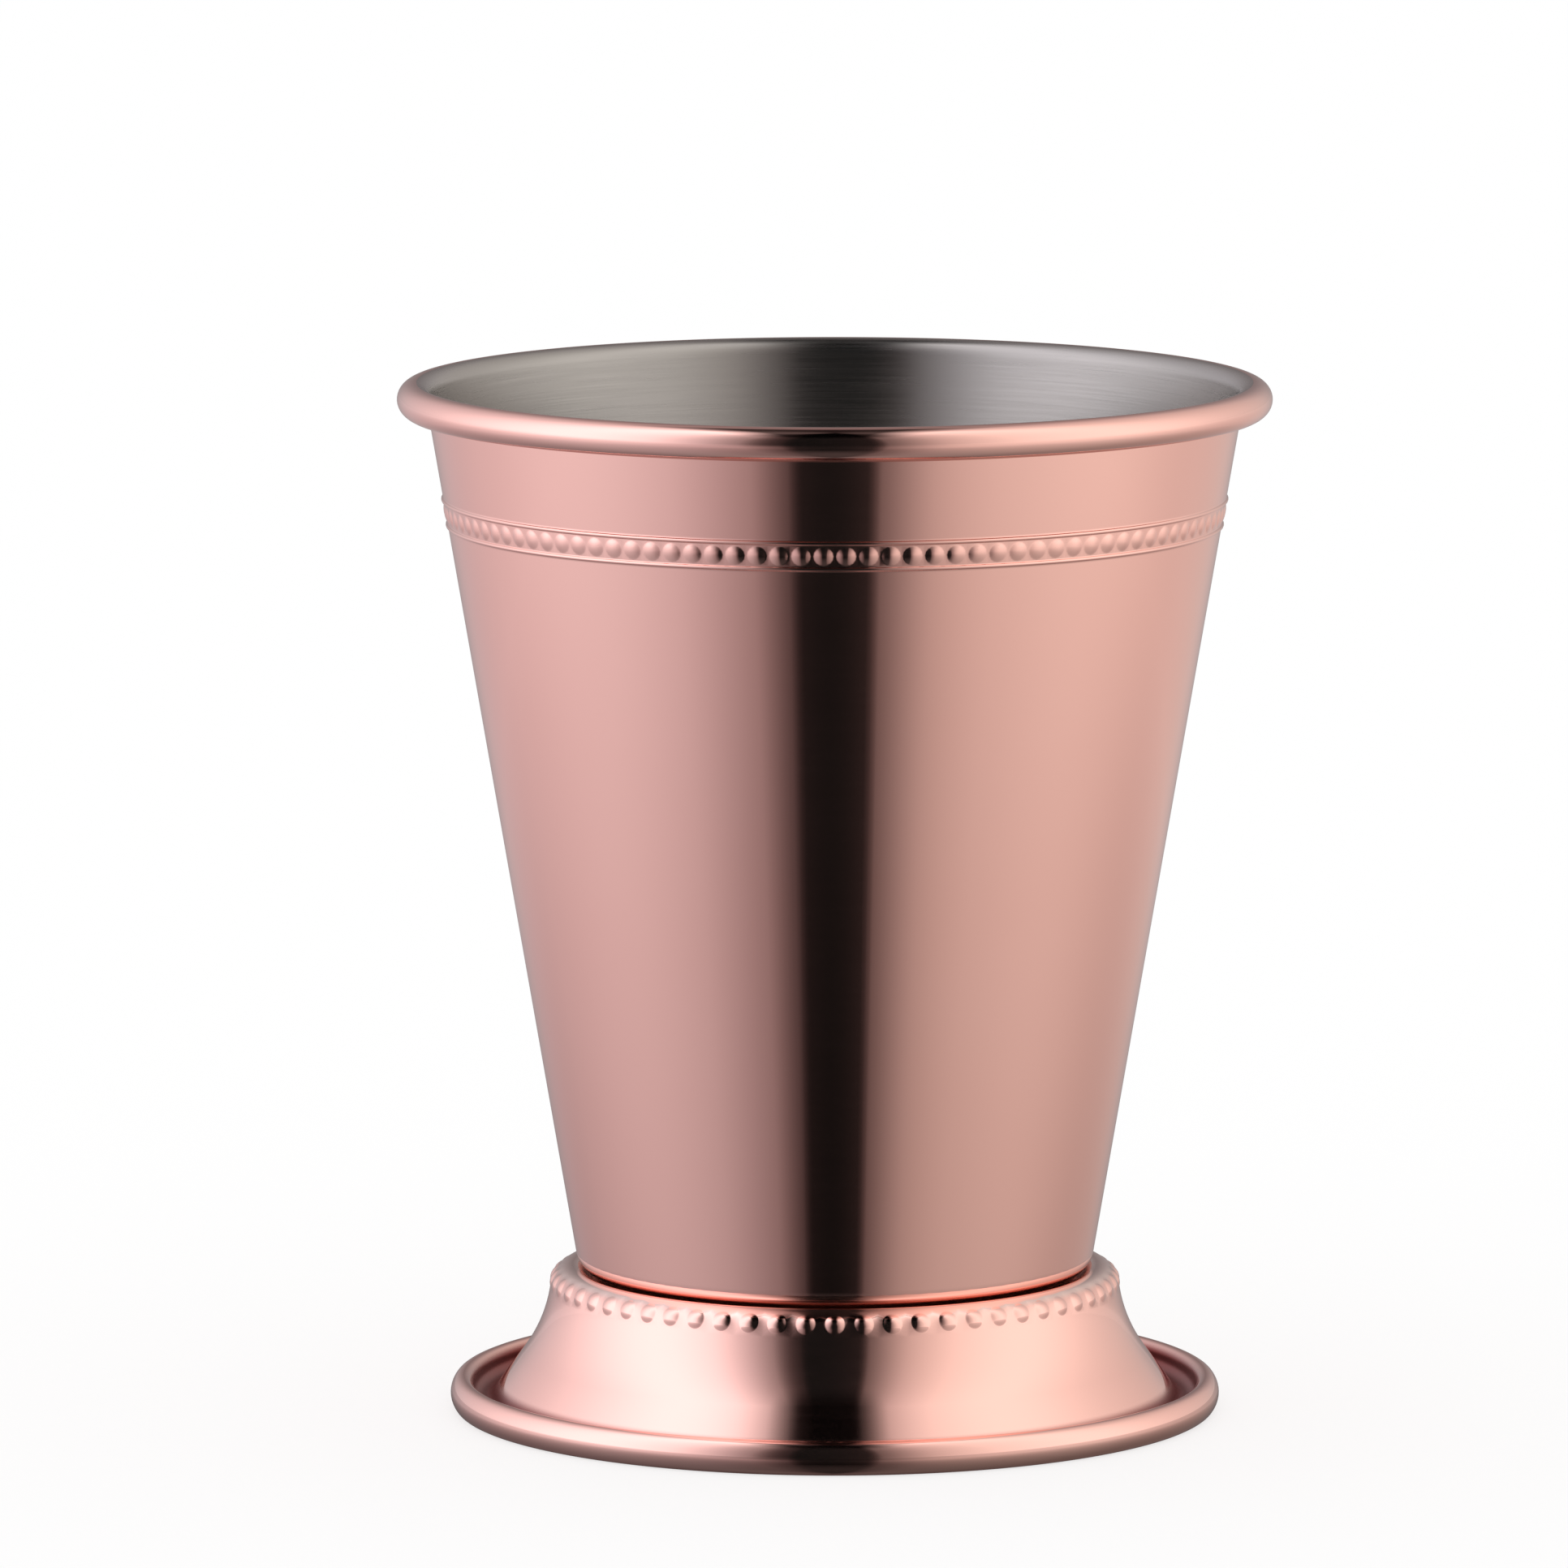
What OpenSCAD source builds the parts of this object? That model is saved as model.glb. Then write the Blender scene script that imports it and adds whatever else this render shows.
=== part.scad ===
// Julep cup: a tapered drinking cup of stainless sheet with a rolled rim and a band of beads,
// copper plated outside, brazed onto a flared foot pressed from the same sheet.
// Sizes are in millimetres. Z points up, and the cup stands on z = 0 with its axis on Z.
// The copper is a plating a few thousandths thick: it is the colour of the outer faces, not a solid.

/* [Cup] */
// Height from the table to the top of the rolled rim
cup_h = 113; // [104:0.5:122]
// Outside diameter over the rolled rim
rim_d = 95; // [88:0.5:102]
// Outside diameter of the wall, measured where its slope reaches the plane of the base
base_d = 55.8; // [52:0.2:59]
// Outside radius of the rounded corner between wall and base
corner_r = 3; // [2:0.1:4]
// Thickness of the stainless sheet, of the cup and the foot
sheet_t = 0.6; // [0.5:0.05:0.7]

/* [Rolled rim] */
// Diameter of the roll, seen in section
roll_d = 3.7; // [3.4:0.1:4.6]
// Opening left between the lip of the roll and the wall
roll_gap = 0.3; // [0.2:0.05:0.5]

/* [Bead band] */
// Distance from the top of the rim down to the middle of the beads
band_drop = 14.1; // [9:0.1:30]
// Spacing of the beads round the band
band_pitch = 2.37; // [2.3:0.01:3.2]
// Width of each bead at its foot
band_bead_w = 2.16; // [1.9:0.02:2.2]
// How far each bead stands out of the wall
band_bead_h = 0.18; // [0.1:0.02:0.4]
// Distance from the middle of the beads to each raised line
line_offset = 1.42; // [1.42:0.02:2.2]
// Radius of each raised line, seen in section
line_r = 0.25; // [0.2:0.01:0.27]
// Radius of the groove that each raised line leaves inside the cup
line_back_r = 0.15; // [0.1:0.01:0.18]

/* [Foot] */
// Height of the cup's base above the table
foot_h = 15; // [14:0.2:17]
// Outside diameter over the foot's rolled edge
foot_d = 84.2; // [81:0.2:90]
// Width of the flange that the flat of the cup's base is brazed to
flange_w = 3.4; // [2.4:0.1:7.4]
// Height of the shoulder's crest above the cup's base
crest_rise = 0.9; // [0.7:0.1:1.2]
// Outside radius of the rounded shoulder
shoulder_r = 2.3; // [2.1:0.1:2.7]
// Width of the V groove between the cup's corner and the shoulder
groove_w = 0.3; // [0.2:0.05:0.5]
// Radius of the bend from the flange up into the shoulder
neck_r = 0.3; // [0.2:0.05:0.5]
// Lean of the foot's wall just under the shoulder, from the vertical
top_lean = 7; // [4:0.5:9]
// Lean of the foot's wall where it reaches the channel, from the vertical
flare_lean = 36; // [35:0.5:38]

/* [Foot beads] */
// Spacing of the beads round the shoulder
foot_pitch = 3.12; // [2.9:0.02:4.2]
// Width of each bead at its foot
foot_bead_w = 1.96; // [1.7:0.02:2.3]
// How far each bead stands out of the shoulder
foot_bead_h = 0.2; // [0.12:0.02:0.4]
// Direction that the beads face, above the horizontal
foot_bead_tilt = 25; // [15:1:35]

/* [Channel and rolled edge] */
// Radius of the channel's floor
channel_r = 1.2; // [1:0.05:1.4]
// Height of the straight wall between the channel's bend and the roll of the edge
edge_wall_h = 0.2; // [0.05:0.05:0.4]
// Height of the rolled edge above the table
edge_h = 3.7; // [3.6:0.1:4.4]
// Outside radius of the top of the rolled edge
edge_top_r = 1.1; // [1:0.05:1.3]
// Outside radius of the rolled edge's round side
edge_side_r = 2.4; // [2.2:0.1:3]
// Height of the widest part of the rolled edge above the table
edge_mid_h = 1.8; // [1.6:0.1:2]
// Outside radius of the hem that turns the edge in at the bottom
hem_r = 0.9; // [0.85:0.05:1.1]
// Width of the flat ring that the cup stands on
hem_flat = 0.5; // [0.3:0.1:0.7]

/* [Braze] */
// Thickness of the braze between the cup's base and the flange
braze_t = 0.15; // [0.1:0.01:0.2]
// Radius of the fillet of braze round the flange's inner edge
braze_fillet = 0.5; // [0.3:0.05:0.5]

/* [Hidden] */
$fn = 48;
// Furthest that a chord of a bend in a section may lie off its true curve
chord_gap = 0.015;

steel = [0.72, 0.71, 0.69];
copper = [0.87, 0.62, 0.56];
foot_copper = [0.90, 0.68, 0.61];
braze_grey = [0.70, 0.62, 0.55];

// The roll: its middle, and its radii over the sheet outside and inside
roll_r = roll_d / 2;
roll_in_r = roll_r - sheet_t;
roll_c = [rim_d / 2 - roll_r, cup_h - roll_r];

// The wall runs straight from the base point to where it just touches the inside of the roll
base_p = [base_d / 2, foot_h];
reach = roll_c - base_p;
wall_lean = atan(reach[0] / reach[1]) - asin(roll_in_r / norm(reach));
wall_dir = [sin(wall_lean), cos(wall_lean)];
wall_out = [cos(wall_lean), -sin(wall_lean)];
corner_c = [base_d / 2 + corner_r * tan(wall_lean) - corner_r / cos(wall_lean), foot_h + corner_r];

// The roll starts where it leaves the wall and stops short of touching it again
roll_start = 180 - wall_lean;
roll_end = roll_start - 360 + acos((roll_in_r - roll_gap) / roll_r);

// Beads: each is the low cap of a ball with a straight edge, and the punch behind it leaves the sheet at its
// full thickness on top. The trim sets both edges just inside the width at which the ball would end.
bead_trim = 0.03;
punch_root = 2 * sheet_t;

// The band: the point of the wall at the beads' middle, their number, their ball and their punch
band_z = cup_h - band_drop;
band_p = base_p + (band_z - foot_h) / wall_dir[1] * wall_dir;
band_count = floor(2 * PI * band_p[0] / band_pitch);
band_ball = ball_radius(band_bead_w, band_bead_h);
band_punch = ball_radius(band_bead_w - sheet_t, band_bead_h);

// The foot's bends, from the flange outwards
flange_z = foot_h - braze_t;
flange_in = corner_c[0] - flange_w;
shoulder_z = foot_h + crest_rise - shoulder_r;
shoulder_x = corner_c[0] + side(corner_r + shoulder_r + groove_w, corner_c[1] - shoulder_z);
shoulder_c = [shoulder_x, shoulder_z];
neck_z = flange_z + neck_r;
neck_x = shoulder_c[0] - side(shoulder_r + neck_r, neck_z - shoulder_c[1]);
neck_c = [neck_x, neck_z];
neck_angle = atan2(neck_c[1] - shoulder_c[1], neck_c[0] - shoulder_c[0]);
lip_turn = 70;

// The rolled edge is an oval: its side bends into a tighter top and a tighter hem, each tangent to it
side_c = [foot_d / 2 - edge_side_r, edge_mid_h];
edge_z = edge_h - edge_top_r;
edge_x = side_c[0] + side(edge_side_r - edge_top_r, edge_z - edge_mid_h);
edge_c = [edge_x, edge_z];
edge_joint = atan2(edge_z - edge_mid_h, edge_x - side_c[0]);
hem_x = side_c[0] + side(edge_side_r - hem_r, edge_mid_h - hem_r);
hem_c = [hem_x, hem_r];
hem_joint = atan2(hem_r - edge_mid_h, hem_x - side_c[0]);
channel_c = [edge_x - edge_top_r - channel_r, edge_z - edge_wall_h];

// The flare leaves the shoulder at top_lean, bends to flare_lean and runs straight to the channel:
// its radius follows from the two ends that it joins
flare_from = shoulder_c + shoulder_r * polar(top_lean);
flare_to = channel_c - channel_r * polar(flare_lean);
flare_span = flare_to - flare_from;
flare_turn = [cos(top_lean) - cos(flare_lean), sin(top_lean) - sin(flare_lean)];
flare_r = (flare_span * polar(flare_lean)) / (flare_turn * polar(flare_lean));
flare_c = flare_from + flare_r * polar(top_lean);

foot_bead_p = shoulder_c + shoulder_r * polar(foot_bead_tilt);
foot_count = floor(2 * PI * foot_bead_p[0] / foot_pitch);
foot_ball = ball_radius(foot_bead_w, foot_bead_h);
foot_punch = ball_radius(foot_bead_w - sheet_t, foot_bead_h);

// Radius of the ball whose cap has the given width and height
function ball_radius(width, height) = (width * width / 4 + height * height) / (2 * height);
// Third side of a right triangle
function side(long, short) = sqrt(long * long - short * short);
// Unit step at an angle above the horizontal
function polar(angle) = [cos(angle), sin(angle)];
// Points of an arc from one angle to another, close enough for its chords to stay within chord_gap
function arc(centre, r, from, to) =
    let (steps = ceil(abs(to - from) / (2 * acos(1 - chord_gap / max(r, 0.1)))))
    [for (i = [0:steps]) centre + r * polar(from + (to - from) * i / steps)];
// The same points in the other order
function back(points) = [for (i = [len(points) - 1:-1:0]) points[i]];
// The same points without any that repeats the one before it, as where two bends meet
function joined(points) = [
    for (i = [0:len(points) - 1])
        if (i == 0 || norm(points[i] - points[i - 1]) > 0.001)
            points[i]
];
// Closed outline of a sheet between its two faces
function sheet(face, back_face) = joined(concat(face, back(back_face)));

// Raised line across the wall at a point of one of its faces, taken upwards
function raised_line(point, r) = [
    for (a = [0:30:180])
        point - r * cos(a) * wall_dir + r * sin(a) * wall_out
];

// Outline of the cup's sheet at a depth below its outer face, from the axis to the lip of the roll
function cup_face(depth, ridge_r) = concat(
    [[0, foot_h + depth]],
    arc(corner_c, corner_r - depth, -90, -wall_lean),
    raised_line(band_p - line_offset * wall_dir - depth * wall_out, ridge_r),
    raised_line(band_p + line_offset * wall_dir - depth * wall_out, ridge_r),
    arc(roll_c, roll_in_r + depth, roll_start, 90),
    arc(roll_c, roll_in_r + depth, 90, 0),
    arc(roll_c, roll_in_r + depth, 0, roll_end)
);

// Outline of the foot's sheet at a depth below its visible face, from the flange to the lip of the hem
function foot_face(depth) = concat(
    [[flange_in, flange_z - depth]],
    arc(neck_c, neck_r + depth, 270, 180 + neck_angle),
    arc(shoulder_c, shoulder_r - depth, neck_angle, 90),
    arc(shoulder_c, shoulder_r - depth, 90, top_lean),
    arc(flare_c, flare_r + depth, 180 + top_lean, 180 + flare_lean),
    arc(channel_c, channel_r + depth, 180 + flare_lean, 360),
    arc(edge_c, edge_top_r - depth, 180, 90),
    arc(edge_c, edge_top_r - depth, 90, edge_joint),
    arc(side_c, edge_side_r - depth, edge_joint, 0),
    arc(side_c, edge_side_r - depth, 0, hem_joint),
    arc(hem_c, hem_r - depth, hem_joint, -90),
    arc(hem_c - [hem_flat, 0], hem_r - depth, -90, -90 - lip_turn)
);

// Cap of a ball that stands proud of the plane z = 0, with a root that goes down straight at its reach
module dome(ball_r, proud, reach, root) {
    rotate_extrude()
        intersection() {
            translate([0, proud - ball_r])
                circle(r = ball_r);
            translate([0, -root])
                square([reach, proud + root]);
        }
}

// Ring of copies on a turned face: each sits at a point of the section and faces along its tilt
module bead_ring(count, point, tilt) {
    for (i = [0:count - 1])
        rotate([0, 0, (i + 0.5) * 360 / count])
            translate([point[0], 0, point[1]])
                rotate([0, 90 - tilt, 0])
                    children();
}

// Stainless cup: drawn wall and base, rolled rim, lines and beads pressed out from inside
module tumbler() {
    difference() {
        color(copper)
            union() {
                rotate_extrude()
                    polygon(sheet(cup_face(0, line_r), cup_face(sheet_t, line_back_r)));
                bead_ring(band_count, band_p, -wall_lean)
                    dome(band_ball, band_bead_h, band_bead_w / 2 - bead_trim, sheet_t / 4);
            }
        color(steel)
            bead_ring(band_count, band_p, -wall_lean)
                dome(band_punch, band_bead_h - sheet_t, (band_bead_w - sheet_t) / 2 - bead_trim, punch_root);
    }
}

// Pressed foot: flange, beaded shoulder, flare, drip channel and rolled edge
module foot() {
    color(foot_copper)
        difference() {
            union() {
                rotate_extrude()
                    polygon(sheet(foot_face(0), foot_face(sheet_t)));
                bead_ring(foot_count, foot_bead_p, foot_bead_tilt)
                    dome(foot_ball, foot_bead_h, foot_bead_w / 2 - bead_trim, 0.95 * sheet_t);
            }
            bead_ring(foot_count, foot_bead_p, foot_bead_tilt)
                dome(foot_punch, foot_bead_h - sheet_t, (foot_bead_w - sheet_t) / 2 - bead_trim, punch_root);
        }
}

// Ring of braze: a film under the base and a fillet round the flange's inner edge
module braze_seam() {
    color(braze_grey)
        rotate_extrude() {
            translate([flange_in, flange_z])
                square([flange_w, braze_t]);
            polygon(concat(
                [[flange_in, foot_h]],
                arc([flange_in - braze_fillet, foot_h - braze_fillet], braze_fillet, 90, 0)
            ));
        }
}

tumbler();
foot();
braze_seam();
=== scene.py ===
from math import acos, asin, atan2, ceil, cos, degrees, floor, pi, radians, sin, sqrt, tan

import bmesh
import bpy
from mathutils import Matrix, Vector


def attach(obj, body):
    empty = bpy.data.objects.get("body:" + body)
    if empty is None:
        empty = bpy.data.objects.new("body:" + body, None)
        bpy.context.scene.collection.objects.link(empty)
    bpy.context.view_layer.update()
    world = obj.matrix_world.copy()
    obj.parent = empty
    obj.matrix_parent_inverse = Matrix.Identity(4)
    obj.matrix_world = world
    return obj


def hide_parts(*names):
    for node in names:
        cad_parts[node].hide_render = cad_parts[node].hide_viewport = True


# A julep cup of stainless sheet, copper plated outside: the tumbler, its foot and the braze between them.
# Sizes in each section are in millimetres, and a finished mesh is scaled to metres.
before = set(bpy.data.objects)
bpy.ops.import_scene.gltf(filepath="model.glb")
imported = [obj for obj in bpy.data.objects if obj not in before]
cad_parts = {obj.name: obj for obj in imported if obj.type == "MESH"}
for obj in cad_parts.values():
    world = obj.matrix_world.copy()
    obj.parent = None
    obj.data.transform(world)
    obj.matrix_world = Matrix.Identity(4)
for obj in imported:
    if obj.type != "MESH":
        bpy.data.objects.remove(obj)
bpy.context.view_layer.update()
scene = bpy.context.scene

# The tumbler: one shell of stainless sheet, drawn deep with a flat base and a tapered wall, its rim rolled
# outwards over an empty bead. It is plated with copper outside and over the roll, up to just past the roll's
# crest. The inside is bare steel, brushed round and round on a lathe.
cup_height = 113.0
rim_width = 95.0
base_height = 15.0
base_width = 55.8
corner_round = 3.0
sheet = 0.6
roll_round = 1.85
roll_gap = 0.3
band_drop = 14.1
line_offset = 1.42
line_round = 0.22
groove_round = 0.12
line_hollow = 0.06
chord_error = 0.006
stop = 0.15
plated, unplated = 0, 1


def polar(angle):
    """Unit step at an angle above the horizontal, in a section's plane"""
    return Vector((cos(radians(angle)), sin(radians(angle))))


def side(long_side, short_side):
    return sqrt(long_side * long_side - short_side * short_side)


# The wall's outer face runs from the base point until it touches the inside of the roll
roll_inside = roll_round - sheet
roll_middle = Vector((rim_width / 2 - roll_round, cup_height - roll_round))
base_point = Vector((base_width / 2, base_height))
reach = roll_middle - base_point
wall_lean = degrees(atan2(reach.x, reach.y) - asin(roll_inside / reach.length))
wall_up = polar(90 - wall_lean)
wall_out = polar(-wall_lean)
lean = radians(wall_lean)
corner_middle = Vector((base_point.x + corner_round * (tan(lean) - 1 / cos(lean)), base_height + corner_round))
roll_start = 180 - wall_lean
roll_end = roll_start - 360 + degrees(acos((roll_inside - roll_gap) / roll_round))
plating_end = 98
band_middle = base_point + wall_up * ((cup_height - band_drop - base_height) / wall_up.y)


def point(place):
    """A corner of an outline, written like a bend of no radius"""
    return (Vector(place), 0, 0, 0)


def back(bends):
    """The same bends taken the other way"""
    return [(middle, radius, end, start) for middle, radius, start, end in reversed(bends)]


def pressed_line(middle, radius, hollow, turn=78):
    """Bends of a line pressed out of the wall, taken upwards: hollow, round and hollow again"""
    out = -wall_lean
    half = (radius + hollow) * sin(radians(turn))
    crest = (radius + hollow) * (1 - cos(radians(turn)))
    return [
        (middle - half * wall_up + hollow * wall_out, hollow, out + 180, out + 180 - turn),
        (middle + (crest - radius) * wall_out, radius, out - turn, out + turn),
        (middle + half * wall_up + hollow * wall_out, hollow, out + 180 + turn, out + 180),
    ]


def draw(shape, bends):
    """Draw an outline from one vertex: runs are extruded and bends are spun from its last point. A long run
    stops close to each end, so that the shading of the bends doesn't reach into it."""
    middle, radius, start, end = bends[0]
    tip = shape.verts.new()
    tip.co = (middle + radius * polar(start)).to_3d().xzy
    for middle, radius, start, end in bends:
        here = tip.co.xz
        there = middle + radius * polar(start)
        run = there - here
        if run.length > 6 * stop:
            places = [here + run.normalized() * stop, there - run.normalized() * stop, there]
        else:
            places = [there] if run.length > stop / 100 else []
        for place in places:
            tip = bmesh.ops.extrude_vert_indiv(shape, verts=[tip])["verts"][0]
            tip.co = place.to_3d().xzy
        if start != end:
            step = 2 * degrees(acos(1 - chord_error / radius))
            spun = bmesh.ops.spin(
                shape, geom=[tip], cent=middle.to_3d().xzy, axis=(0, -1, 0), angle=radians(end - start),
                steps=ceil(abs(end - start) / step), use_duplicate=False)
            tip = [part for part in spun["geom_last"] if isinstance(part, bmesh.types.BMVert)][0]


def join(shell, part, finish):
    """Add a part to a shell, all in one finish, and empty the part"""
    for face in part.faces:
        face.material_index = finish
        face.smooth = True
    mesh = bpy.data.meshes.new("part")
    part.to_mesh(mesh)
    part.free()
    shell.from_mesh(mesh)
    bpy.data.meshes.remove(mesh)


def turned(shell, bends, steps, finish):
    """Turn an outline round the axis and add it to the shell"""
    part = bmesh.new()
    draw(part, bends)
    bmesh.ops.spin(
        part, geom=part.verts[:] + part.edges[:], cent=(0, 0, 0), axis=(0, 0, 1), angle=2 * pi, steps=steps,
        use_merge=True, use_duplicate=False)
    join(shell, part, finish)


def beaded(shell, section, depth, bead, ring, finish):
    """Add a ring of tiles of the sheet, each with a low bead pressed out of it. section gives the sheet's
    point at a distance along its outer face and a depth below it. A tile is a disc, spun from a line: its
    inner rings lie on the bead, and its rim is drawn out to the tile's four edges. A softness of 1 would
    give the bead a sharp edge all round."""
    width, length, height = bead
    count, radius, corners, low, high = ring
    shares = [0, 0.26, 0.5, 0.7, 0.86, 0.96, 1.03]
    softness = 1.25
    tile = bmesh.new()
    tip = tile.verts.new((0, 0, 0))
    for number in range(1, len(shares) + 1):
        tip = bmesh.ops.extrude_vert_indiv(tile, verts=[tip])["verts"][0]
        tip.co = (number, 0, 0)
    bmesh.ops.spin(
        tile, geom=tile.verts[:] + tile.edges[:], cent=(0, 0, 0), axis=(0, 0, 1), angle=2 * pi,
        steps=4 * corners, use_merge=True, use_duplicate=False)
    bmesh.ops.remove_doubles(tile, verts=tile.verts[:], dist=0.001)
    for vert in tile.verts:
        number = round(vert.co.xy.length)
        angle = atan2(vert.co.y, vert.co.x)
        if number < len(shares):
            across = width / 2 * shares[number] * cos(angle)
            along = length / 2 * shares[number] * sin(angle)
            lift = height * max(0, 1 - shares[number] ** 2) ** softness
        else:
            quarter = round((angle - 0.001) / (pi / 2)) % 4
            share = 4 * angle / pi - 2 * round((angle - 0.001) / (pi / 2))
            across, along = [(1, share), (-share, 1), (-1, -share), (share, -1)][quarter]
            across = across * pi * radius / count
            along = (high + low + along * (high - low)) / 2
            lift = 0
        spot = section(along, depth - lift)
        turn = across / radius + pi / count
        vert.co = (spot.x * cos(turn), spot.x * sin(turn), spot.y)
    bmesh.ops.spin(
        tile, geom=tile.faces[:] + tile.edges[:] + tile.verts[:], cent=(0, 0, 0), axis=(0, 0, 1),
        angle=2 * pi * (count - 1) / count, steps=count - 1, use_duplicate=True)
    join(shell, tile, finish)


def piece(name, shell, materials, nodes, crease=55):
    """Close the shell's seams, turn its faces outwards, and make it a piece that stands for CAD nodes"""
    bmesh.ops.remove_doubles(shell, verts=shell.verts[:], dist=0.002)
    bmesh.ops.recalc_face_normals(shell, faces=shell.faces[:])
    for edge in shell.edges:
        edge.smooth = edge.calc_face_angle(0) < radians(crease)
    bmesh.ops.scale(shell, vec=(0.001, 0.001, 0.001), verts=shell.verts[:])
    mesh = bpy.data.meshes.new(name)
    shell.to_mesh(mesh)
    shell.free()
    for material in materials:
        mesh.materials.append(material)
    made = bpy.data.objects.new(name, mesh)
    scene.collection.objects.link(made)
    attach(made, "root")
    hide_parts(*nodes)


def nodes_of(tree):
    """Two short calls for a node tree: one adds a node with its values, the other links two sockets"""
    def add(kind, values=(), **settings):
        node = tree.nodes.new(kind)
        for setting, value in settings.items():
            setattr(node, setting, value)
        for socket, value in dict(values).items():
            node.inputs[socket].default_value = value
        return node

    return add, tree.links.new


def group(name, inputs, outputs):
    """An empty shader node group with named inputs and outputs, its end nodes and its two short calls"""
    tree = bpy.data.node_groups.new(name, "ShaderNodeTree")
    for socket, kind, value in inputs:
        made = tree.interface.new_socket(socket, in_out="INPUT", socket_type=kind)
        if value is not None:
            made.default_value = value
    for socket, kind in outputs:
        tree.interface.new_socket(socket, in_out="OUTPUT", socket_type=kind)
    add, link = nodes_of(tree)
    return tree, add, link, add("NodeGroupInput"), add("NodeGroupOutput")


def round_axis(add, link, coordinates):
    """Of a place: its part away from the axis as a vector, that part's length, and its height"""
    split = add("ShaderNodeSeparateXYZ")
    link(coordinates, split.inputs[0])
    flat = add("ShaderNodeCombineXYZ")
    link(split.outputs["X"], flat.inputs["X"])
    link(split.outputs["Y"], flat.inputs["Y"])
    length = add("ShaderNodeVectorMath", operation="LENGTH")
    link(flat.outputs[0], length.inputs[0])
    return flat.outputs[0], length.outputs["Value"], split.outputs["Z"]


# Marks that run round the axis, as a lathe, a brush or a polishing mop leaves them
lathe_marks, add, link, given, result = group(
    "lathe_marks",
    [("Coordinates", "NodeSocketVector", None), ("Fineness", "NodeSocketFloat", 3000.0),
     ("Length", "NodeSocketFloat", 6.0)],
    [("Marks", "NodeSocketFloat"), ("Broad", "NodeSocketFloat")])
flat, radius, height = round_axis(add, link, given.outputs["Coordinates"])
around = add("ShaderNodeVectorMath", operation="NORMALIZE")
link(flat, around.inputs[0])
lengthened = add("ShaderNodeVectorMath", operation="SCALE")
link(around.outputs[0], lengthened.inputs[0])
link(given.outputs["Length"], lengthened.inputs["Scale"])
fine_height = add("ShaderNodeMath", operation="MULTIPLY")
link(height, fine_height.inputs[0])
link(given.outputs["Fineness"], fine_height.inputs[1])
raised = add("ShaderNodeCombineXYZ")
link(fine_height.outputs[0], raised.inputs["Z"])
place = add("ShaderNodeVectorMath", operation="ADD")
link(lengthened.outputs[0], place.inputs[0])
link(raised.outputs[0], place.inputs[1])
fine_radius = add("ShaderNodeMath", operation="MULTIPLY")
link(radius, fine_radius.inputs[0])
link(given.outputs["Fineness"], fine_radius.inputs[1])
marks = add("ShaderNodeTexNoise", {"Scale": 1.0, "Detail": 3.0, "Roughness": 0.6}, noise_dimensions="4D")
link(place.outputs[0], marks.inputs["Vector"])
link(fine_radius.outputs[0], marks.inputs["W"])
link(marks.outputs[0], result.inputs["Marks"])
broad = add("ShaderNodeTexNoise", {"Scale": 35.0, "Detail": 3.0, "Roughness": 0.5})
link(given.outputs["Coordinates"], broad.inputs["Vector"])
link(broad.outputs[0], result.inputs["Broad"])


# A ring of given radius and height, in metres: full within its reach and faded out a millimetre past it
ring_mask, add, link, given, result = group(
    "ring_mask",
    [("Coordinates", "NodeSocketVector", None), ("Radius", "NodeSocketFloat", 0.03),
     ("Height", "NodeSocketFloat", 0.0), ("Reach", "NodeSocketFloat", 0.001)],
    [("Mask", "NodeSocketFloat")])
flat, radius, height = round_axis(add, link, given.outputs["Coordinates"])
outwards = add("ShaderNodeMath", operation="SUBTRACT")
link(radius, outwards.inputs[0])
link(given.outputs["Radius"], outwards.inputs[1])
upwards = add("ShaderNodeMath", operation="SUBTRACT")
link(height, upwards.inputs[0])
link(given.outputs["Height"], upwards.inputs[1])
offset = add("ShaderNodeCombineXYZ")
link(outwards.outputs[0], offset.inputs["X"])
link(upwards.outputs[0], offset.inputs["Y"])
away = add("ShaderNodeVectorMath", operation="LENGTH")
link(offset.outputs[0], away.inputs[0])
past = add("ShaderNodeMath", operation="SUBTRACT")
link(away.outputs["Value"], past.inputs[0])
link(given.outputs["Reach"], past.inputs[1])
fade = add("ShaderNodeMapRange", {"From Min": 0.0, "From Max": 0.0009, "To Min": 1.0, "To Max": 0.0},
           interpolation_type="SMOOTHSTEP")
link(past.outputs[0], fade.inputs["Value"])
link(fade.outputs[0], result.inputs["Mask"])


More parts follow.
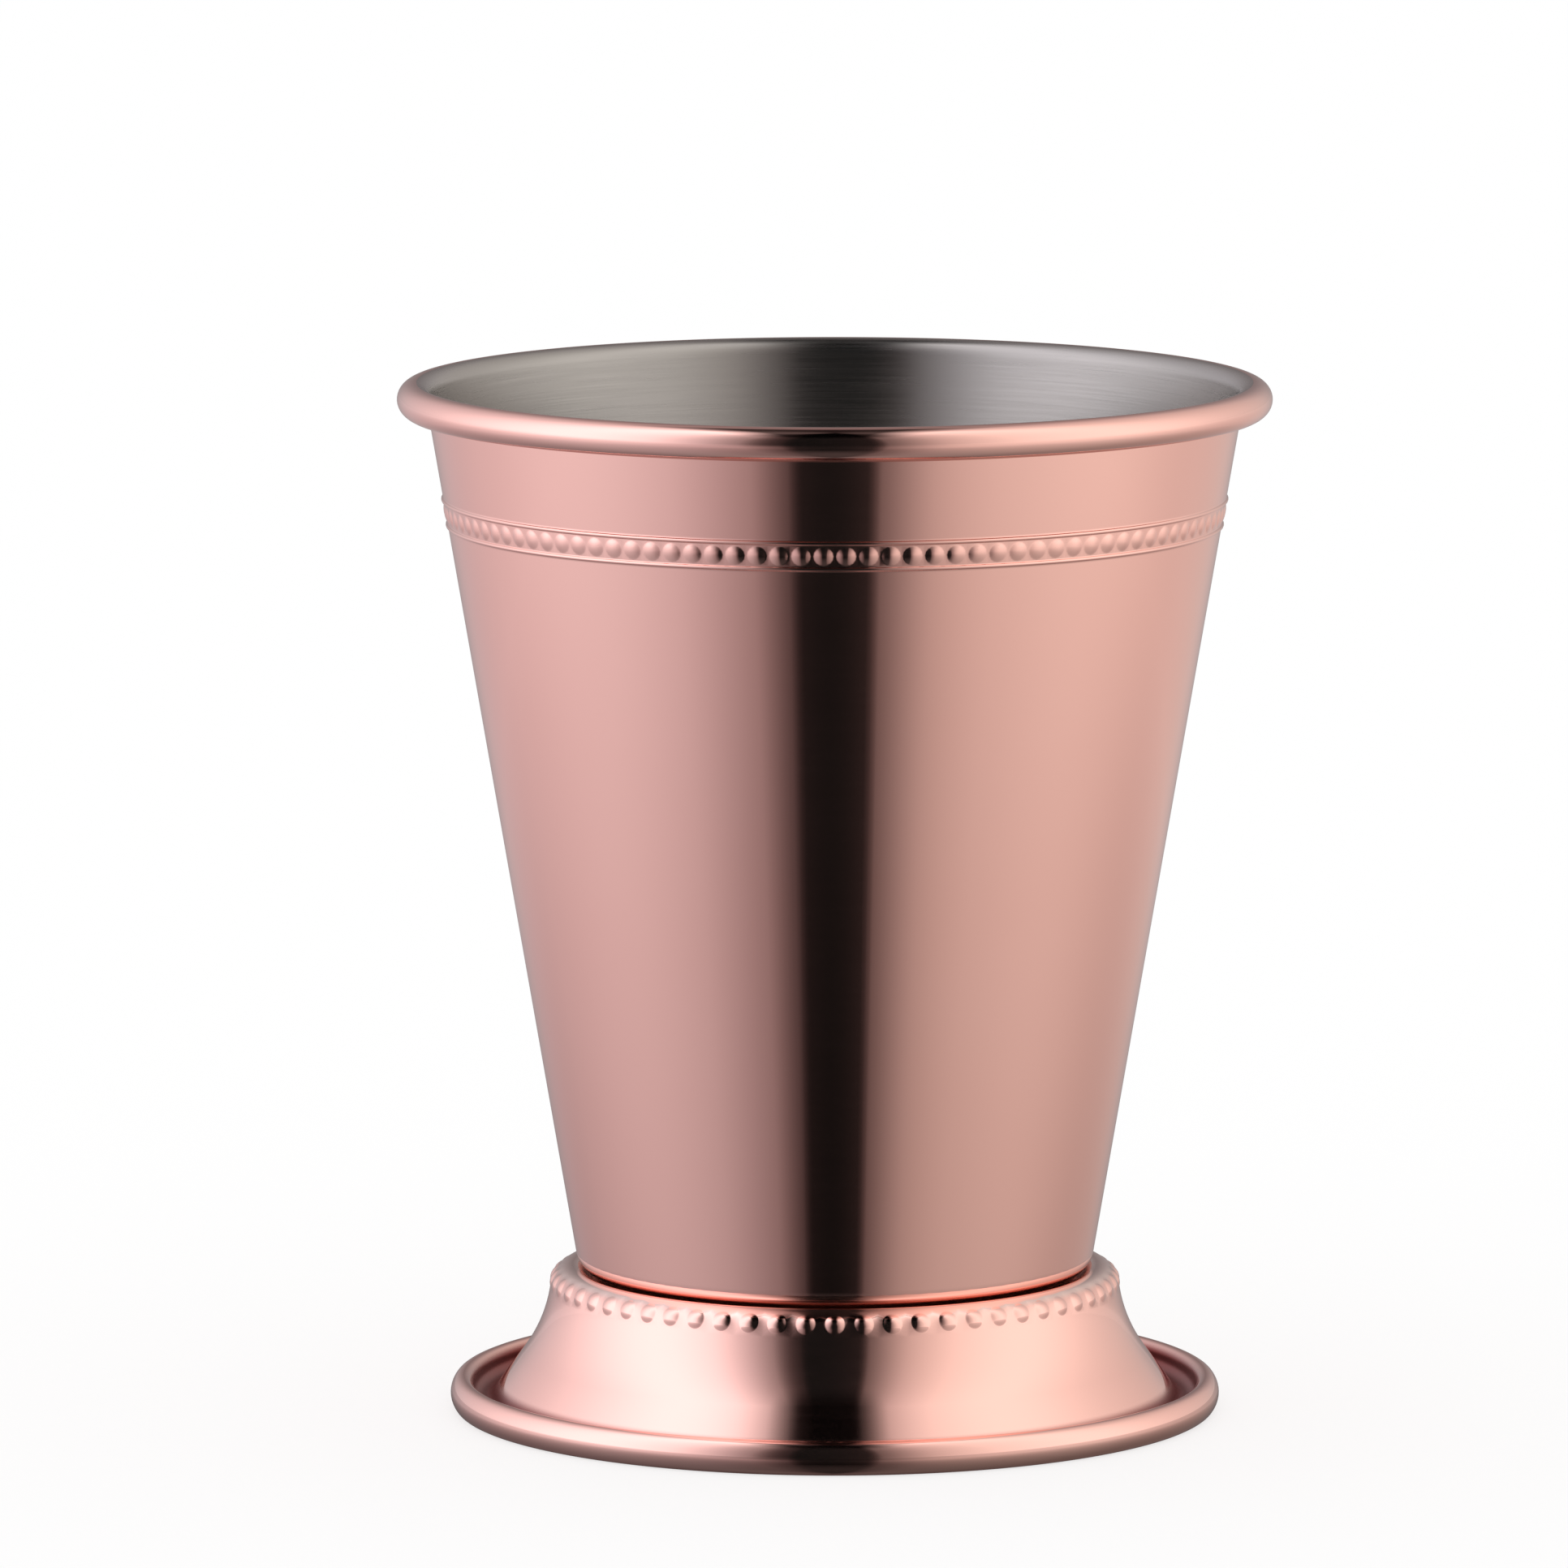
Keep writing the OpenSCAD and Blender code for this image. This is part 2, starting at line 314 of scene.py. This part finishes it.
def metal(name, pale, deep, smooth, rough, fineness, length, depth, anisotropy=0.0, rings=()):
    """Metal with marks round the axis: pale and deep are its colour's two ends, smooth and rough its
    roughness between the marks and on them, and depth how deep the marks are, in metres. rings are places
    round the axis where it differs, each with a radius and height, a reach, a colour and a roughness."""
    material = bpy.data.materials.new(name)
    material.use_nodes = True
    tree = material.node_tree
    tree.nodes.clear()
    add, link = nodes_of(tree)
    output = add("ShaderNodeOutputMaterial")
    shader = add("ShaderNodeBsdfPrincipled", {
        "Metallic": 1.0, "Anisotropic": anisotropy, "Anisotropic Rotation": 0.25})
    link(shader.outputs[0], output.inputs["Surface"])
    coordinates = add("ShaderNodeTexCoord")
    turned_marks = add("ShaderNodeGroup", node_tree=lathe_marks)
    turned_marks.inputs["Fineness"].default_value = fineness
    turned_marks.inputs["Length"].default_value = length
    link(coordinates.outputs["Object"], turned_marks.inputs["Coordinates"])
    colour = add("ShaderNodeMix", data_type="RGBA")
    colour.inputs["A"].default_value = (*pale, 1)
    colour.inputs["B"].default_value = (*deep, 1)
    link(turned_marks.outputs["Broad"], colour.inputs["Factor"])
    roughness = add("ShaderNodeMapRange", {"From Min": 0.35, "From Max": 0.75, "To Min": smooth, "To Max": rough})
    link(turned_marks.outputs["Marks"], roughness.inputs["Value"])
    tone, gloss = colour.outputs["Result"], roughness.outputs[0]
    for place, reach, own_colour, own_roughness in rings:
        ring = add("ShaderNodeGroup", node_tree=ring_mask)
        ring.inputs["Radius"].default_value = place[0] / 1000
        ring.inputs["Height"].default_value = place[1] / 1000
        ring.inputs["Reach"].default_value = reach / 1000
        link(coordinates.outputs["Object"], ring.inputs["Coordinates"])
        mixed = add("ShaderNodeMix", data_type="RGBA")
        mixed.inputs["B"].default_value = (*own_colour, 1)
        link(ring.outputs["Mask"], mixed.inputs["Factor"])
        link(tone, mixed.inputs["A"])
        dulled = add("ShaderNodeMix", data_type="FLOAT")
        dulled.inputs["B"].default_value = own_roughness
        link(ring.outputs["Mask"], dulled.inputs["Factor"])
        link(gloss, dulled.inputs["A"])
        tone, gloss = mixed.outputs["Result"], dulled.outputs["Result"]
    link(tone, shader.inputs["Base Color"])
    link(gloss, shader.inputs["Roughness"])
    bump = add("ShaderNodeBump", {"Strength": 1.0, "Distance": depth})
    link(turned_marks.outputs["Marks"], bump.inputs["Height"])
    link(bump.outputs[0], shader.inputs["Normal"])
    if anisotropy:
        tangent = add("ShaderNodeTangent", direction_type="RADIAL", axis="Z")
        link(tangent.outputs[0], shader.inputs["Tangent"])
    return material


copper = metal("polished_copper", (0.96, 0.57, 0.505), (0.93, 0.54, 0.475), 0.035, 0.06, 1600.0, 5.0, 1e-7)
bare_steel = metal("brushed_steel", (0.4, 0.375, 0.355), (0.36, 0.335, 0.325), 0.2, 0.3, 5000.0, 3.0, 3e-6, 0.7)
dull_copper = metal("satin_copper", (0.84, 0.5, 0.42), (0.76, 0.44, 0.37), 0.25, 0.35, 2500.0, 3.0, 2e-6)

# The band: a row of low beads between two raised lines, all pressed out of the wall from inside, so the sheet
# keeps its thickness and each bead leaves a shallow dimple in the cup
band_radius = band_middle.x
bead_pitch = 2.37
bead_count = floor(2 * pi * band_radius / bead_pitch)
bead_width = 2.16
bead_height = 0.18
tile_half = 1.13
bead_corners = 4


def wall(along, depth):
    return band_middle + along * wall_up - depth * wall_out


cup = bmesh.new()
turns = bead_count * bead_corners
low_line, high_line = wall(-line_offset, 0), wall(line_offset, 0)
low_groove, high_groove = wall(-line_offset, sheet), wall(line_offset, sheet)
turned(cup, [
    point((0, base_height)),
    (corner_middle, corner_round, -90, -wall_lean),
    *pressed_line(low_line, line_round, line_hollow),
    point(wall(-tile_half, 0)),
], turns, plated)
turned(cup, [
    point(wall(tile_half, 0)),
    *pressed_line(high_line, line_round, line_hollow),
    (roll_middle, roll_inside, roll_start, roll_end),
    (roll_middle, roll_round, roll_end, plating_end),
], turns, plated)
turned(cup, [
    (roll_middle, roll_round, plating_end, roll_start),
    *back(pressed_line(high_groove, groove_round, line_hollow)),
    point(wall(tile_half, sheet)),
], turns, unplated)
turned(cup, [
    point(wall(-tile_half, sheet)),
    *back(pressed_line(low_groove, groove_round, line_hollow)),
    (corner_middle, corner_round - sheet, -wall_lean, -90),
    point((0, base_height + sheet)),
], turns, unplated)
band = (bead_count, band_radius, bead_corners, -tile_half, tile_half)
beaded(cup, wall, 0, (bead_width, bead_width, bead_height), band, plated)
beaded(cup, wall, sheet, (bead_width - sheet, bead_width - sheet, bead_height), band, unplated)
piece("tumbler_shell", cup, [copper, bare_steel], ["tumbler"])

# The foot: one pressed ring of the same sheet. From the flange under the cup it bends up into a rounded
# shoulder with 62 low beads, flares out to a narrow channel and ends in a rolled edge with a hem under it.
foot_width = 84.2
flange_width = 3.4
braze = 0.15
crest_rise = 0.9
shoulder_round = 2.3
groove = 0.3
neck_round = 0.3
top_lean = 7
flare_lean = 36
channel_round = 1.2
edge_height = 3.7
edge_top = 1.1
edge_side = 2.4
edge_widest = 1.8
edge_wall = 0.2
hem_round = 0.9
hem_flat = 0.5
lip_turn = 70
polish_end = 108
foot_tilt = 25
foot_pitch = 3.12
foot_bead_width = 2.2
foot_bead_length = 2.3
foot_bead_height = 0.2
foot_corners = 6

flange_height = base_height - braze
flange_edge = corner_middle.x - flange_width
shoulder_height = base_height + crest_rise - shoulder_round
shoulder_middle = Vector((
    corner_middle.x + side(corner_round + shoulder_round + groove, corner_middle.y - shoulder_height),
    shoulder_height))
neck_height = flange_height + neck_round
neck_middle = Vector((
    shoulder_middle.x - side(shoulder_round + neck_round, neck_height - shoulder_height), neck_height))
neck_turn = degrees(atan2(neck_height - shoulder_height, neck_middle.x - shoulder_middle.x))
side_middle = Vector((foot_width / 2 - edge_side, edge_widest))
edge_middle = Vector((0, edge_height - edge_top))
edge_middle.x = side_middle.x + side(edge_side - edge_top, edge_middle.y - edge_widest)
edge_joint = degrees(atan2(edge_middle.y - edge_widest, edge_middle.x - side_middle.x))
hem_middle = Vector((side_middle.x + side(edge_side - hem_round, edge_widest - hem_round), hem_round))
hem_joint = degrees(atan2(hem_round - edge_widest, hem_middle.x - side_middle.x))
channel_middle = Vector((edge_middle.x - edge_top - channel_round, edge_middle.y - edge_wall))
flare_start = shoulder_middle + shoulder_round * polar(top_lean)
flare_end = channel_middle - channel_round * polar(flare_lean)
flare_turn = polar(top_lean) - polar(flare_lean)
flare_round = (flare_end - flare_start).dot(polar(flare_lean)) / flare_turn.dot(polar(flare_lean))
flare_middle = flare_start + flare_round * polar(top_lean)
foot_bead = shoulder_middle + shoulder_round * polar(foot_tilt)
foot_count = floor(2 * pi * foot_bead.x / foot_pitch)
bead_low, bead_high = -1.5, 1.5


def flare_angle(along):
    """Angle about the flare's middle of a point that far along the shoulder's face, below its tangent"""
    tangent = radians(top_lean - foot_tilt) * shoulder_round
    return 180 + top_lean + degrees((tangent - along) / flare_round)


def shoulder(along, depth):
    angle = foot_tilt + degrees(along / shoulder_round)
    if angle > top_lean:
        return shoulder_middle + (shoulder_round - depth) * polar(angle)
    return flare_middle + (flare_round + depth) * polar(flare_angle(along))


def inner_bends(depth):
    """The foot's sheet at a depth, from the flange's edge to the beads"""
    return [
        point((flange_edge, flange_height - depth)),
        (neck_middle, neck_round + depth, 270, 180 + neck_turn),
        (shoulder_middle, shoulder_round - depth, neck_turn, foot_tilt + degrees(bead_high / shoulder_round)),
    ]


def outer_bends(depth):
    """The foot's sheet at a depth, from the beads to the lip of the hem"""
    return [
        (flare_middle, flare_round + depth, flare_angle(bead_low), 180 + flare_lean),
        (channel_middle, channel_round + depth, 180 + flare_lean, 360),
        (edge_middle, edge_top - depth, 180, edge_joint),
        (side_middle, edge_side - depth, edge_joint, hem_joint),
        (hem_middle, hem_round - depth, hem_joint, -90),
        (hem_middle - Vector((hem_flat, 0)), hem_round - depth, -90, -90 - lip_turn),
    ]


base = bmesh.new()
foot_turns = foot_count * foot_corners
flange, neck, top = inner_bends(0)
turned(base, back([flange, neck, (shoulder_middle, shoulder_round, neck_turn, polish_end)]), foot_turns, unplated)
turned(base, back([(shoulder_middle, shoulder_round, polish_end, top[3])]), foot_turns, plated)
turned(base, back(inner_bends(sheet)), foot_turns, unplated)
turned(base, [
    point((flange_edge, flange_height)),
    point((flange_edge, flange_height - sheet)),
], foot_turns, unplated)
turned(base, outer_bends(0), foot_turns, plated)
lip = outer_bends(0)[-1]
lip_middle, lip_angle = lip[0], lip[3]
turned(base, [
    (lip_middle, hem_round, lip_angle, lip_angle),
    (lip_middle, hem_round - sheet, lip_angle, lip_angle),
], foot_turns, unplated)
turned(base, back(outer_bends(sheet)), foot_turns, unplated)
row = (foot_count, foot_bead.x, foot_corners, bead_low, bead_high)
dome = (foot_bead_width, foot_bead_length, foot_bead_height)
dimple = (foot_bead_width - sheet, foot_bead_length - sheet, foot_bead_height)
beaded(base, shoulder, 0, dome, row, plated)
beaded(base, shoulder, sheet, dimple, row, unplated)
crest = shoulder_middle + shoulder_round * polar(82)
foot_copper = metal(
    "foot_copper", (0.96, 0.57, 0.505), (0.93, 0.54, 0.475), 0.05, 0.08, 1600.0, 5.0, 1e-7, rings=[
        # Painted shade: a dark red copper in the channel stands in for the dim, many-times-reflected light deep in
        # it
        (channel_middle, 1.3, (0.24, 0.06, 0.055), 0.35),
        # Painted highlight: a paler copper along the shoulder's crest stands in for a paler reflection there
        (crest, 0.9, (0.96, 0.72, 0.66), 0.1),
    ])
piece("foot_shell", base, [foot_copper, dull_copper], ["foot"])

# The braze: silver braze run into the joint under the base, with a small fillet round the flange's inner edge
braze_metal = metal("braze", (0.72, 0.64, 0.56), (0.6, 0.5, 0.42), 0.3, 0.5, 900.0, 20.0, 8e-6)
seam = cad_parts["braze_seam"]
for material_slot in seam.material_slots:
    material_slot.material = braze_metal

# The studio: a white sweep in a white tent that is open on the camera's side and along a slit overhead, where
# it is dark. Metal mirrors the tent, and the camera sees plain white. Each row of the tent gives a bearing
# from the camera's side, the tone down by the floor and the tone from the horizon up.
brightest = 1.6
dark = 0.008
tent = [
    (-180, 0.25, 0.1), (-155, 0.4, 0.6), (-125, 0.5, 0.85), (-85, 0.8, brightest), (-50, 0.65, 1.3), (-25, 0.3, 0.1),
    (-14, 0.05, dark), (-10, dark, dark), (10, dark, dark), (14, 0.1, 0.05), (30, 0.55, 0.6), (50, 0.7, 1.0),
    (85, 0.8, 1.3), (120, 0.5, 0.8), (155, 0.5, 0.6), (180, 0.25, 0.1),
]


def graded(add, column):
    """A smooth colour ramp of one column of the tent's tones. They are shares of the brightest, because a
    ramp stops at 1. Middle tones are a little warm and the dark of the opening is a little cold."""
    node = add("ShaderNodeValToRGB")
    ramp = node.color_ramp
    ramp.interpolation = "B_SPLINE"
    ramp.elements.remove(ramp.elements[1])
    for number, row in enumerate(tent):
        place = (row[0] + 180) / 360
        step = ramp.elements.new(place) if number else ramp.elements[0]
        step.position = place
        share = row[column] / brightest
        warmth = 1 + 0.3 * max(0, 1 - row[column]) ** 2 if row[column] > dark else 0.8
        step.color = (warmth * share, share, share, 1)
    return node


def mirrors_apart(add, link, plain, mirrored):
    """Mix of two shaders: a plain one, and one that only mirrored and refracted rays meet"""
    rays = add("ShaderNodeLightPath")
    either = add("ShaderNodeMath", operation="MAXIMUM")
    link(rays.outputs["Is Glossy Ray"], either.inputs[0])
    link(rays.outputs["Is Transmission Ray"], either.inputs[1])
    mix = add("ShaderNodeMixShader")
    link(either.outputs[0], mix.inputs[0])
    link(plain.outputs[0], mix.inputs[1])
    link(mirrored.outputs[0], mix.inputs[2])
    return mix


world = bpy.data.worlds.new("tent")
scene.world = world
world.use_nodes = True
world.node_tree.nodes.clear()
add, link = nodes_of(world.node_tree)
output = add("ShaderNodeOutputWorld")
coordinates = add("ShaderNodeTexCoord")
split = add("ShaderNodeSeparateXYZ")
link(coordinates.outputs["Generated"], split.inputs[0])
ahead = add("ShaderNodeMath", {1: -1.0}, operation="MULTIPLY")
link(split.outputs["Y"], ahead.inputs[0])
bearing = add("ShaderNodeMath", operation="ARCTAN2")
link(split.outputs["X"], bearing.inputs[0])
link(ahead.outputs[0], bearing.inputs[1])
share = add("ShaderNodeMapRange", {"From Min": -pi, "From Max": pi})
link(bearing.outputs[0], share.inputs["Value"])
low_tones = graded(add, 1)
high_tones = graded(add, 2)
link(share.outputs[0], low_tones.inputs[0])
link(share.outputs[0], high_tones.inputs[0])
under = add("ShaderNodeMapRange", {"From Min": -1.0, "From Max": -0.25, "To Min": 0.35, "To Max": 1.15})
link(split.outputs["Z"], under.inputs["Value"])
dimmed = add("ShaderNodeVectorMath", operation="SCALE")
link(low_tones.outputs[0], dimmed.inputs[0])
link(under.outputs[0], dimmed.inputs["Scale"])
glow = add("ShaderNodeMapRange", {"From Min": -0.5, "From Max": -0.85, "To Min": 0.0, "To Max": 0.04})
link(split.outputs["Z"], glow.inputs["Value"])
low_part = add("ShaderNodeVectorMath", operation="ADD")
link(dimmed.outputs[0], low_part.inputs[0])
link(glow.outputs[0], low_part.inputs[1])
rise = add("ShaderNodeMapRange", {"From Min": -0.3, "From Max": 0.08}, interpolation_type="SMOOTHSTEP")
link(split.outputs["Z"], rise.inputs["Value"])
tones = add("ShaderNodeMix", data_type="RGBA")
link(rise.outputs[0], tones.inputs["Factor"])
link(low_part.outputs[0], tones.inputs["A"])
link(high_tones.outputs[0], tones.inputs["B"])
shifted = add("ShaderNodeMath", {1: 0.03}, operation="ADD")
link(split.outputs["X"], shifted.inputs[0])
from_middle = add("ShaderNodeMath", operation="ABSOLUTE")
link(shifted.outputs[0], from_middle.inputs[0])
gap = add("ShaderNodeMapRange", {"From Min": 0.13, "From Max": 0.27, "To Min": 0.08, "To Max": 1.0})
link(from_middle.outputs[0], gap.inputs["Value"])
overhead = add("ShaderNodeMapRange", {"From Min": 0.74, "From Max": 0.88})
link(split.outputs["Z"], overhead.inputs["Value"])
opening = add("ShaderNodeMix", {"A": 1.0}, data_type="FLOAT")
link(overhead.outputs[0], opening.inputs["Factor"])
link(gap.outputs[0], opening.inputs["B"])
opened = add("ShaderNodeVectorMath", operation="SCALE")
link(tones.outputs["Result"], opened.inputs[0])
link(opening.outputs["Result"], opened.inputs["Scale"])
across = add("ShaderNodeMapRange", {"From Min": -0.5, "From Max": 0.5})
link(split.outputs["X"], across.inputs["Value"])
tint = add("ShaderNodeMix", data_type="RGBA")
tint.inputs["A"].default_value = (1.0, 1.0, 1.05, 1)
tint.inputs["B"].default_value = (1.0, 0.98, 0.93, 1)
link(across.outputs[0], tint.inputs["Factor"])
tinted = add("ShaderNodeMix", {"Factor": 1.0}, data_type="RGBA", blend_type="MULTIPLY")
link(opened.outputs[0], tinted.inputs["A"])
link(tint.outputs["Result"], tinted.inputs["B"])
tent_light = add("ShaderNodeBackground", {"Strength": 1.1 * brightest})
link(tinted.outputs["Result"], tent_light.inputs["Color"])
plain_light = add("ShaderNodeBackground", {"Color": (1, 1, 1, 1), "Strength": 1.0})
mix = mirrors_apart(add, link, plain_light, tent_light)
link(mix.outputs[0], output.inputs["Surface"])

# The floor takes the cup's shadow. Mirrored rays pass through it to the tent, dimmed by a painted shadow close
# to the cup that is darkest under its edge, and from below it is clear.
sweep = bmesh.new()
bmesh.ops.create_grid(sweep, x_segments=2, y_segments=2, size=8.0)
mesh = bpy.data.meshes.new("floor")
sweep.to_mesh(mesh)
sweep.free()
floor_paper = bpy.data.materials.new("white_paper")
floor_paper.use_nodes = True
floor_paper.node_tree.nodes.clear()
add, link = nodes_of(floor_paper.node_tree)
output = add("ShaderNodeOutputMaterial")
coordinates = add("ShaderNodeTexCoord")
distance = add("ShaderNodeVectorMath", operation="LENGTH")
link(coordinates.outputs["Object"], distance.inputs[0])
# Painted shadow, seen only by mirrored rays: dimmer close to the cup and darkest just under its edge
painted_shadow_round_cup = add("ShaderNodeMapRange", {"From Min": 0.06, "From Max": 0.32, "To Min": 0.74, "To Max": 1.05})
link(distance.outputs["Value"], painted_shadow_round_cup.inputs["Value"])
painted_shadow_under_edge = add("ShaderNodeMapRange", {"From Min": 0.042, "From Max": 0.049, "To Min": 0.45, "To Max": 1.0})
link(distance.outputs["Value"], painted_shadow_under_edge.inputs["Value"])
painted_shadow_tone = add("ShaderNodeMath", operation="MULTIPLY")
link(painted_shadow_round_cup.outputs[0], painted_shadow_tone.inputs[0])
link(painted_shadow_under_edge.outputs[0], painted_shadow_tone.inputs[1])
seen_through = add("ShaderNodeBsdfTransparent")
link(painted_shadow_tone.outputs[0], seen_through.inputs["Color"])
white = add("ShaderNodeEmission", {"Color": (1, 1, 1, 1), "Strength": 1.0})
shaded = add("ShaderNodeBsdfDiffuse", {"Color": (1, 1, 1, 1)})
paper = add("ShaderNodeMixShader", {0: 0.3})
link(white.outputs[0], paper.inputs[1])
link(shaded.outputs[0], paper.inputs[2])
mix = mirrors_apart(add, link, paper, seen_through)
side_seen = add("ShaderNodeNewGeometry")
clear = add("ShaderNodeBsdfTransparent")
sides = add("ShaderNodeMixShader")
link(side_seen.outputs["Backfacing"], sides.inputs[0])
link(mix.outputs[0], sides.inputs[1])
link(clear.outputs[0], sides.inputs[2])
link(sides.outputs[0], output.inputs["Surface"])
mesh.materials.append(floor_paper)
floor_sheet = bpy.data.objects.new("floor", mesh)
scene.collection.objects.link(floor_sheet)

scene.view_settings.view_transform = "Standard"

# The camera stands a metre and a half away, above the rim, and looks down on the cup
camera_distance = 1.4635
camera_height = 0.2708
aim_height = 0.0565
camera_data = bpy.data.cameras.new("camera")
camera_data.lens = 311.3
camera_data.sensor_width = 36
camera_data.shift_x = -0.0324
camera_data.shift_y = 0.0715
camera_data.clip_end = 100
camera = bpy.data.objects.new("camera", camera_data)
camera.location = (0, -camera_distance, camera_height)
camera.rotation_euler = (pi / 2 - atan2(camera_height - aim_height, camera_distance), 0, 0)
scene.collection.objects.link(camera)
scene.camera = camera
